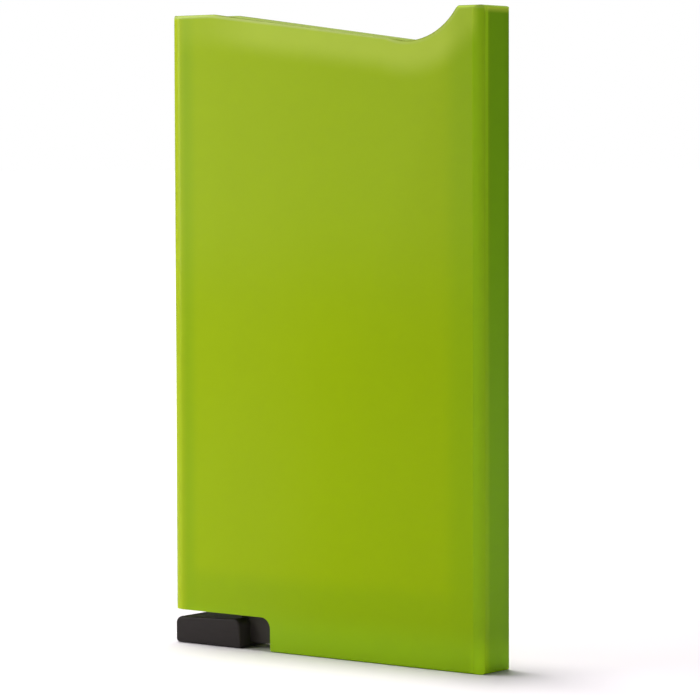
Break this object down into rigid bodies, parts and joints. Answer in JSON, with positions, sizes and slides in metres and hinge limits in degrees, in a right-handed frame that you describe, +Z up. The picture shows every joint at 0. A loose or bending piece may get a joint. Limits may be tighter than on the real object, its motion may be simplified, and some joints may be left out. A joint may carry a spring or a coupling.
{
  "type": "rfid card holder",
  "caption": "Slim upright hard case for bank cards with a slanted top edge, a thumb cut-out and a finger lever in a corner notch that lifts the cards in steps.",
  "frame": {"origin": "middle of the base, on the plane that the case stands on", "axes": "+Z up along the height, +X to the right seen from the front, +Y from the front face to the back"},
  "size_m": [0.0606, 0.0074, 0.1004],
  "materials": {
    "shell": "satin lime green, slightly see-through",
    "shield": "brushed sheet",
    "grip": "matt",
    "lever": "satin black",
    "pin": "plain"
  },
  "bodies": {
    "case": {"front_cover": "shell", "rear_shell": "shell", "front_shield": "shield", "rear_shield": "shield", "left_grip_strip": "grip", "right_grip_strip": "grip", "pivot_pin": "pin"},
    "lever": {"eject_lever": "lever"}
  },
  "joints": [
    {"name": "lever_swing", "type": "hinge", "parent": "case", "child": "lever", "pos_m": [-0.00855, 0, 0.0089], "axis": [0, -1, 0], "range_deg": [0, 30]}
  ]
}
